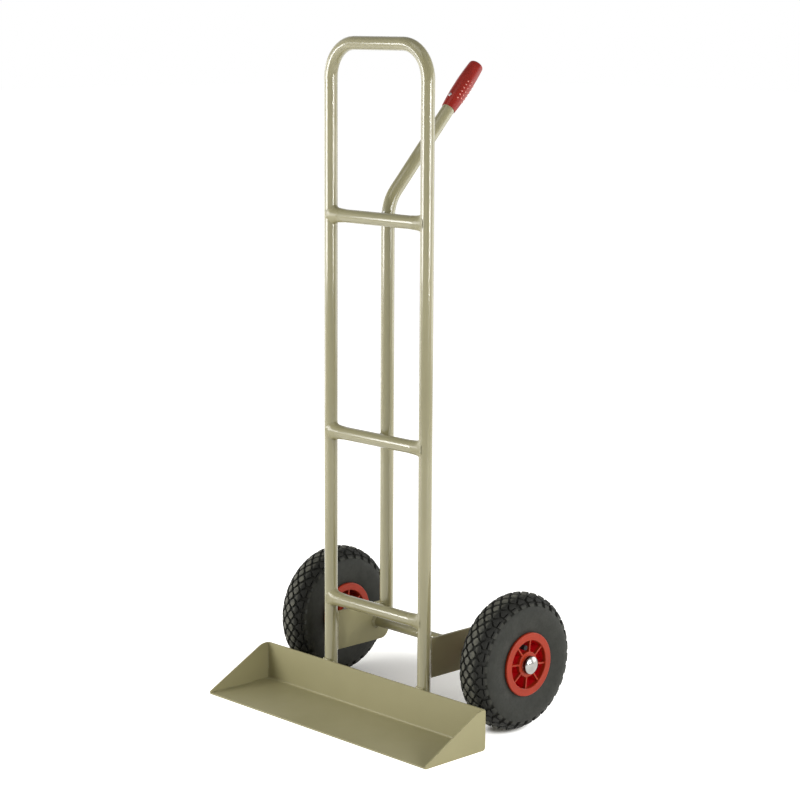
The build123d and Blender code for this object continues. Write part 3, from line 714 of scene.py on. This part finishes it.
def block(outline, middle, turn):
    """A raised tread block. The outline is in arc lengths across the tread and round the crown."""

    def ring(places, radius):
        return [round_axle(*on_section(p.x / SECTION_R, radius), turn + p.y / TYRE_R) for p in places]

    spokes = [p - middle for p in outline]
    rings = []
    for grow, lift in BLOCK_FLANK:
        flank = [middle + spoke * (1 + grow / spoke.length) for spoke in spokes]
        rings.append(ring(flank, GROOVE_FLOOR_R + lift))
    for share in BLOCK_TOP:
        rings.append(ring([middle + spoke * share for spoke in spokes], SECTION_R))
    return loft(rings)


def diamond(wide, long):
    """Outline of a diamond with its points cut off, round its own middle."""
    near, far = DIAMOND_CUT, 1 - DIAMOND_CUT
    half = ((far, -near), (far, near), (near, far), (-near, far))
    corners = [Vector((hand * wide * x, hand * long * y)) for hand in (1, -1) for x, y in half]
    return divided(corners, DIAMOND_EDGE_STEPS)


def lug_parts(hand, wide, long):
    """Outline and middle of the heel and the toe of a lug on one shoulder."""
    heel = ((LUG_ROOT - wide, 0), (LUG_ROOT, ROOT_SHARE), (LUG_HEEL, HEEL_SHARE),
            (LUG_HEEL, -HEEL_SHARE), (LUG_ROOT, -ROOT_SHARE))
    toe = ((LUG_TOE, TOE_SHARE), (LUG_END, TIP_SHARE), (LUG_END, -TIP_SHARE), (LUG_TOE, -TOE_SHARE))
    for corners, middle in ((heel, LUG_ROOT), (toe, (LUG_TOE + LUG_END) / 2)):
        outline = divided([Vector((hand * x, long * share)) for x, share in corners], LUG_EDGE_STEPS)
        yield outline, Vector((hand * middle, 0))


def tread_blocks():
    """Rows of diamonds over the crown and a split lug over each shoulder, all the way round."""
    lattice_r = ROW_STEP * HALF_PITCH / math.hypot(ROW_STEP, HALF_PITCH)
    share = (lattice_r - GROOVE / 2) / lattice_r
    wide, long = ROW_STEP * share, HALF_PITCH * share
    blocks = []
    for n in range(PITCHES):
        for row in range(-DIAMOND_ROWS, DIAMOND_ROWS + 1):
            middle = Vector((row * ROW_STEP, 0))
            turn = TAU * (n + (row % 2) / 2) / PITCHES
            blocks.append(block([middle + p for p in diamond(wide, long)], middle, turn))
        turn = TAU * (n + (LUG_ROW % 2) / 2) / PITCHES
        for hand in (-1, 1):
            blocks += [block(outline, middle, turn) for outline, middle in lug_parts(hand, wide, long)]
    return blocks


# Dust on the crown, a painted highlight on the lugs' toes, and a darker band over the shoulder: where each
# begins and where it is full, by height against the section's circle for the tops of the blocks, and
# otherwise by lean in degrees
DUST_AND_HIGHLIGHT_TOPS = (-0.45, -0.10)
DUST_CROWN = (28.0, 16.0)
TOE_HIGHLIGHT_INNER, TOE_HIGHLIGHT_OUTER = (54.0, 60.0), (66.0, 62.0)
TOE_HIGHLIGHT_SHARE = 0.16
DUST_AND_HIGHLIGHT_PATCH_SIZE = 8.0
DUST_AND_HIGHLIGHT_PATCH_LEVEL, DUST_AND_HIGHLIGHT_PATCH_SWING = 0.8, 0.9
SHOULDER_DARK_INNER, SHOULDER_DARK_OUTER = (22.0, 30.0), (61.0, 55.0)
SHOULDER_DARK_SHARE = 0.8


def tread_tones(point):
    """Dust on the tops of the crown's blocks, a painted highlight on the lugs' toes, and a darker band on the
    shoulder between them.
    """
    out = math.hypot(point.y - AXLE_Y, point.z - AXLE_Z) - SECTION_MID_R
    across = abs(point.x) - WHEEL_X
    top = progress(math.hypot(out, across) - SECTION_R, *DUST_AND_HIGHLIGHT_TOPS)
    lean = abs(math.degrees(math.atan2(across, out)))
    # Painted highlight on the lugs' toes
    toe = TOE_HIGHLIGHT_SHARE * progress(lean, *TOE_HIGHLIGHT_INNER) * progress(lean, *TOE_HIGHLIGHT_OUTER)
    patchy = max(DUST_AND_HIGHLIGHT_PATCH_LEVEL + DUST_AND_HIGHLIGHT_PATCH_SWING * wobble(point, DUST_AND_HIGHLIGHT_PATCH_SIZE), 0.0)
    dust_and_toe_highlight = top * max(progress(lean, *DUST_CROWN), toe) * patchy
    # A darker band over the shoulder
    shoulder_dark = SHOULDER_DARK_SHARE * progress(lean, *SHOULDER_DARK_INNER) * progress(lean, *SHOULDER_DARK_OUTER)
    return dust_and_toe_highlight, shoulder_dark


tyre_skins = [tyre_carcass(), *tread_blocks()]
for side, skins in (("right", tyre_skins), ("left", mirrored(tyre_skins))):
    tyre = piece(f"{side}_treaded_tyre", skins, f"{side}_wheel", TYRE_BLACK, TYRE_CREASE)
    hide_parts(f"{side}_tyre")
    tones = [tread_tones(vertex.co / MM) for vertex in tyre.data.vertices]
    paint_points(tyre, "dust_and_toe_highlight", [dust_and_toe_highlight for dust_and_toe_highlight, _ in tones])
    paint_points(tyre, "shoulder_dark", [shoulder_dark for _, shoulder_dark in tones])


# Grip

GRIP_CREASE = 40.0
GRIP_SIDES = 64
GRIP_STEPS = 21
GRIP_ROUND_STEPS = 6
GRIP_LIP_IN, GRIP_LIP_LENGTH = 0.4, 0.35
# Radius of the small flat that closes the tip and the bore, and a ring on the tip's flat end
GRIP_POLE_R = 0.4
GRIP_FLAT_R, GRIP_FLAT_DIP = 4.5, 0.05
# Rows of pips lie lengthwise, and those at the grip's front are left smooth
PIP_ROWS = 14
PIP_SMOOTH_ROWS = 2
PIP_TURN = 0.5
PIP_COUNT = 6
PIP_PITCH = 8.0
PIP_FIRST = 23.0
PIP_R = 2.1
PIP_H = 0.9
PIP_SIDES = 12
# Radius as a share of the pip's, and height above the grip
PIP_PROFILE = ((1.12, -0.6), (1.0, 0.0), (0.58, 0.52 * PIP_H), (0.18, PIP_H))
# Heights above the grip where the painted glint on a pip begins and is full
GLINT_HEIGHTS = (0.1 * PIP_H, 0.8 * PIP_H)


def grip_radius(at):
    """Radius of the grip along its length: a parabola through its mouth, its belly and its shoulder."""
    mouth, belly, tip = (0.0, GRIP_MOUTH_R), (GRIP_BELLY_AT, GRIP_BELLY_R), (GRIP_SHOULDER, GRIP_TIP_R)
    total = 0.0
    for a, b, c in ((mouth, belly, tip), (belly, mouth, tip), (tip, mouth, belly)):
        total += a[1] * (at - b[0]) * (at - c[0]) / ((a[0] - b[0]) * (a[0] - c[0]))
    return total


def grip_skin():
    """Sleeve with a rolled mouth, a rounded tip and a blind bore."""
    bore_end = GRIP_LENGTH - GRIP_END_WALL
    profile = [(bore_end, GRIP_POLE_R), (bore_end, TUBE_R), (0.0, TUBE_R)]
    profile += [(0.0, GRIP_MOUTH_R - GRIP_LIP_IN), (GRIP_LIP_LENGTH, GRIP_MOUTH_R)]
    for i in range(1, GRIP_STEPS + 1):
        at = GRIP_SHOULDER * i / GRIP_STEPS
        profile.append((at, grip_radius(at)))
    for i in range(1, GRIP_ROUND_STEPS + 1):
        turn = math.radians(90 * i / GRIP_ROUND_STEPS)
        at = GRIP_SHOULDER + GRIP_ROUND * math.sin(turn)
        profile.append((at, GRIP_TIP_R - GRIP_ROUND * (1 - math.cos(turn))))
    profile += [(GRIP_LENGTH - GRIP_FLAT_DIP, GRIP_FLAT_R), (GRIP_LENGTH, GRIP_POLE_R)]
    rings = []
    for at, radius in profile:
        rings.append(circle(GRIP_MOUTH + ARM_DIR * at, radius, ARM_FRONT, ARM_SIDE, GRIP_SIDES))
    return loft(rings)


def pip(at, turn):
    """A low round stud on the grip, by its distance from the mouth and its turn round the arm."""
    out = math.cos(turn) * ARM_FRONT + math.sin(turn) * ARM_SIDE
    foot = GRIP_MOUTH + ARM_DIR * at + grip_radius(at) * out
    side = ARM_DIR.cross(out)
    rings = []
    for share, lift in PIP_PROFILE:
        rings.append(circle(foot + out * lift, PIP_R * share, ARM_DIR, side, PIP_SIDES))
    return loft(rings)


def pip_glint(point):
    """How far a point of the grip is painted pale as a glint, which is only on the pips."""
    from_mouth = point - GRIP_MOUTH
    at = from_mouth.dot(ARM_DIR)
    return progress((from_mouth - at * ARM_DIR).length - grip_radius(at), *GLINT_HEIGHTS)


grip_skins = [grip_skin()]
for row in range(PIP_SMOOTH_ROWS, PIP_ROWS - PIP_SMOOTH_ROWS):
    for n in range(PIP_COUNT):
        at = PIP_FIRST + PIP_PITCH * (n + (row % 2) / 2)
        grip_skins.append(pip(at, TAU * (row + PIP_TURN) / PIP_ROWS))
grip = piece("pipped_grip", grip_skins, "frame", GRIP_RED, GRIP_CREASE)
paint_points(grip, "pip_glint", [pip_glint(vertex.co / MM) for vertex in grip.data.vertices])
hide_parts("handle_grip")


# Stage: camera, world, floor and lamps, in metres

IMAGE_SIDE = 800
FOCAL_PIXELS = 2185.7
SENSOR_WIDTH = 36.0
CAMERA_PLACE = Vector((2.91619, -2.76332 + UPRIGHT_Y * MM, 1.30843))
YAW, PITCH, ROLL = (math.radians(a) for a in (45.94, 9.94, 0.29))

scene = bpy.context.scene
scene.view_settings.view_transform = "Standard"


def add_camera():
    """The photograph's camera, as fitted to the trolley."""
    lens = bpy.data.cameras.new("camera")
    lens.sensor_width = SENSOR_WIDTH
    lens.lens = SENSOR_WIDTH * FOCAL_PIXELS / IMAGE_SIDE
    camera = bpy.data.objects.new("camera", lens)
    back = Vector((math.sin(YAW) * math.cos(PITCH), -math.cos(YAW) * math.cos(PITCH), math.sin(PITCH)))
    sideways = Vector((math.cos(YAW), math.sin(YAW), 0))
    upright = back.cross(sideways)
    right = math.cos(ROLL) * sideways + math.sin(ROLL) * upright
    up = -math.sin(ROLL) * sideways + math.cos(ROLL) * upright
    camera.matrix_world = Matrix.Translation(CAMERA_PLACE) @ Matrix((right, up, back)).transposed().to_4x4()
    scene.collection.objects.link(camera)
    scene.camera = camera


# Strength of the world as light, against one where it is seen
AMBIENT = 0.45
# Light and reflections find the world darker overhead and in front: a direction, the range of a gaze's reach
# in it over which that comes in, and the share of the strength that is left
OVERHEAD, OVERHEAD_RANGE, OVERHEAD_SHARE = (0, 0, 1), (0.25, 0.75), 0.35
IN_FRONT, IN_FRONT_RANGE, IN_FRONT_SHARE = (0.72, -0.69, 0), (0.2, 0.9), 0.35


def seen_directly(tree):
    """One for rays from the camera, from gloss and through glass, and otherwise zero."""
    path = tree.nodes.new("ShaderNodeLightPath")
    most = path.outputs["Is Camera Ray"]
    for name in ("Is Glossy Ray", "Is Transmission Ray"):
        most = combined(tree, "MAXIMUM", most, path.outputs[name])
    return most


def darker_towards(tree, gaze, direction, reach, share):
    """A strength that falls from one to a share as the gaze turns in a direction."""
    towards = vector_node(tree, "DOT_PRODUCT", gaze, direction).outputs["Value"]
    return mapped(tree, towards, *reach, 1.0, share, "SMOOTHSTEP")


def add_world():
    """A white room, in which the camera sees nothing but white."""
    world = bpy.data.worlds.new("studio")
    scene.world = world
    world.use_nodes = True
    tree = world.node_tree
    sky = tree.nodes["Background"]
    sky.inputs["Color"].default_value = (1, 1, 1, 1)
    gaze = tree.nodes.new("ShaderNodeTexCoord").outputs["Generated"]
    overhead = darker_towards(tree, gaze, OVERHEAD, OVERHEAD_RANGE, OVERHEAD_SHARE)
    in_front = darker_towards(tree, gaze, IN_FRONT, IN_FRONT_RANGE, IN_FRONT_SHARE)
    strength = mapped(tree, seen_directly(tree), 0.0, 1.0, AMBIENT, 1.0)
    shaped = combined(tree, "MULTIPLY", combined(tree, "MULTIPLY", overhead, in_front), strength)
    from_camera = tree.nodes.new("ShaderNodeLightPath").outputs["Is Camera Ray"]
    tree.links.new(combined(tree, "MAXIMUM", shaped, from_camera), sky.inputs["Strength"])


FLOOR_HALF = 30.0
FLOOR_Z = -0.0003
FLOOR_COLOR = (0.89, 0.875, 0.82, 1)
FLOOR_GLOW = 0.9
# Painted shadow: the floor glows less under the trolley, and not at all where a tyre stands on it
SHADOW_GLOW = 0.21
SHADOW_MIDDLE = (-0.08, 0.10, 0.0)
SHADOW_REACH = (0.25, 0.21, 1.0)
SHADOW_FADE = (0.55, 1.55)
CONTACT_SHADOW_MIDDLE = (0.235, 0.060, 0.0)
CONTACT_SHADOW_REACH = (0.030, 0.047, 1.0)
CONTACT_SHADOW_FADE = (0.6, 1.3)


def distance_from(tree, place, middle, reach):
    """How far a place is from a middle, as a share of the reach along each axis."""
    offset = vector_node(tree, "SUBTRACT", place, middle).outputs["Vector"]
    share = vector_node(tree, "DIVIDE", offset, reach).outputs["Vector"]
    return vector_node(tree, "LENGTH", share).outputs["Value"]


def floor_paper():
    """Matt paper that glows to a plain white where it is seen, apart from a painted shadow under the trolley
    and its tyres.
    """
    paper = bpy.data.materials.new("floor_paper")
    paper.use_nodes = True
    tree = paper.node_tree
    tree.nodes.clear()
    matt = tree.nodes.new("ShaderNodeBsdfDiffuse")
    matt.inputs["Color"].default_value = FLOOR_COLOR
    glow = tree.nodes.new("ShaderNodeEmission")
    place = object_place(tree)
    either_side = vector_node(tree, "ABSOLUTE", place).outputs["Vector"]
    from_middle = distance_from(tree, place, SHADOW_MIDDLE, SHADOW_REACH)
    from_tyre = distance_from(tree, either_side, CONTACT_SHADOW_MIDDLE, CONTACT_SHADOW_REACH)
    # Painted shadow under the trolley and under each tyre
    shadow_under = mapped(tree, from_middle, *SHADOW_FADE, SHADOW_GLOW, FLOOR_GLOW, "SMOOTHSTEP")
    contact_shadow = mapped(tree, from_tyre, *CONTACT_SHADOW_FADE, 0.0, 1.0, "SMOOTHSTEP")
    shaded = combined(tree, "MULTIPLY", shadow_under, contact_shadow)
    tree.links.new(combined(tree, "MULTIPLY", shaded, seen_directly(tree)), glow.inputs["Strength"])
    both = tree.nodes.new("ShaderNodeAddShader")
    tree.links.new(matt.outputs[0], both.inputs[0])
    tree.links.new(glow.outputs[0], both.inputs[1])
    tree.links.new(both.outputs[0], tree.nodes.new("ShaderNodeOutputMaterial").inputs["Surface"])
    return paper


def add_floor():
    """A wide square of paper."""
    mesh = bpy.data.meshes.new("floor")
    corners = [(x * FLOOR_HALF, y * FLOOR_HALF, FLOOR_Z) for x, y in ((-1, -1), (1, -1), (1, 1), (-1, 1))]
    mesh.from_pydata(corners, [], [(0, 1, 2, 3)])
    mesh.materials.append(floor_paper())
    floor = bpy.data.objects.new("floor", mesh)
    scene.collection.objects.link(floor)


LAMP_AIM = Vector((0, 0, 0.55))
LAMP_DISTANCE = 2.9
# Name, azimuth and elevation in degrees, width, height and power in watts. Azimuth 0 is in front of the tray,
# and 90 to its right
LAMPS = (
    ("left_box", -31, 8, 1.5, 0.95, 52),
    ("left_fill", -75, 5, 2.4, 1.5, 21),
    ("right_strip", 84.5, 8, 0.15, 1.0, 26),
    ("right_box", 100, 10, 0.8, 1.0, 22),
    ("back_box", 150, 8, 2.4, 1.5, 22),
    ("top_fill", 0, 62, 1.5, 1.5, 9),
    ("top_right", 90, 60, 1.5, 1.5, 3),
)


def add_softbox(name, azimuth, elevation, width, height, power):
    """A rectangular lamp that faces the trolley and that the camera doesn't see."""
    lamp = bpy.data.lights.new(name, "AREA")
    lamp.shape = "RECTANGLE"
    lamp.size, lamp.size_y = width, height
    lamp.energy = power
    thing = bpy.data.objects.new(name, lamp)
    a, e = math.radians(azimuth), math.radians(elevation)
    towards = Vector((math.sin(a) * math.cos(e), -math.cos(a) * math.cos(e), math.sin(e)))
    thing.location = LAMP_AIM + towards * LAMP_DISTANCE
    thing.rotation_mode = "QUATERNION"
    thing.rotation_quaternion = towards.to_track_quat("Z", "Y")
    thing.visible_camera = False
    scene.collection.objects.link(thing)


add_camera()
add_world()
add_floor()
for lamp in LAMPS:
    add_softbox(*lamp)
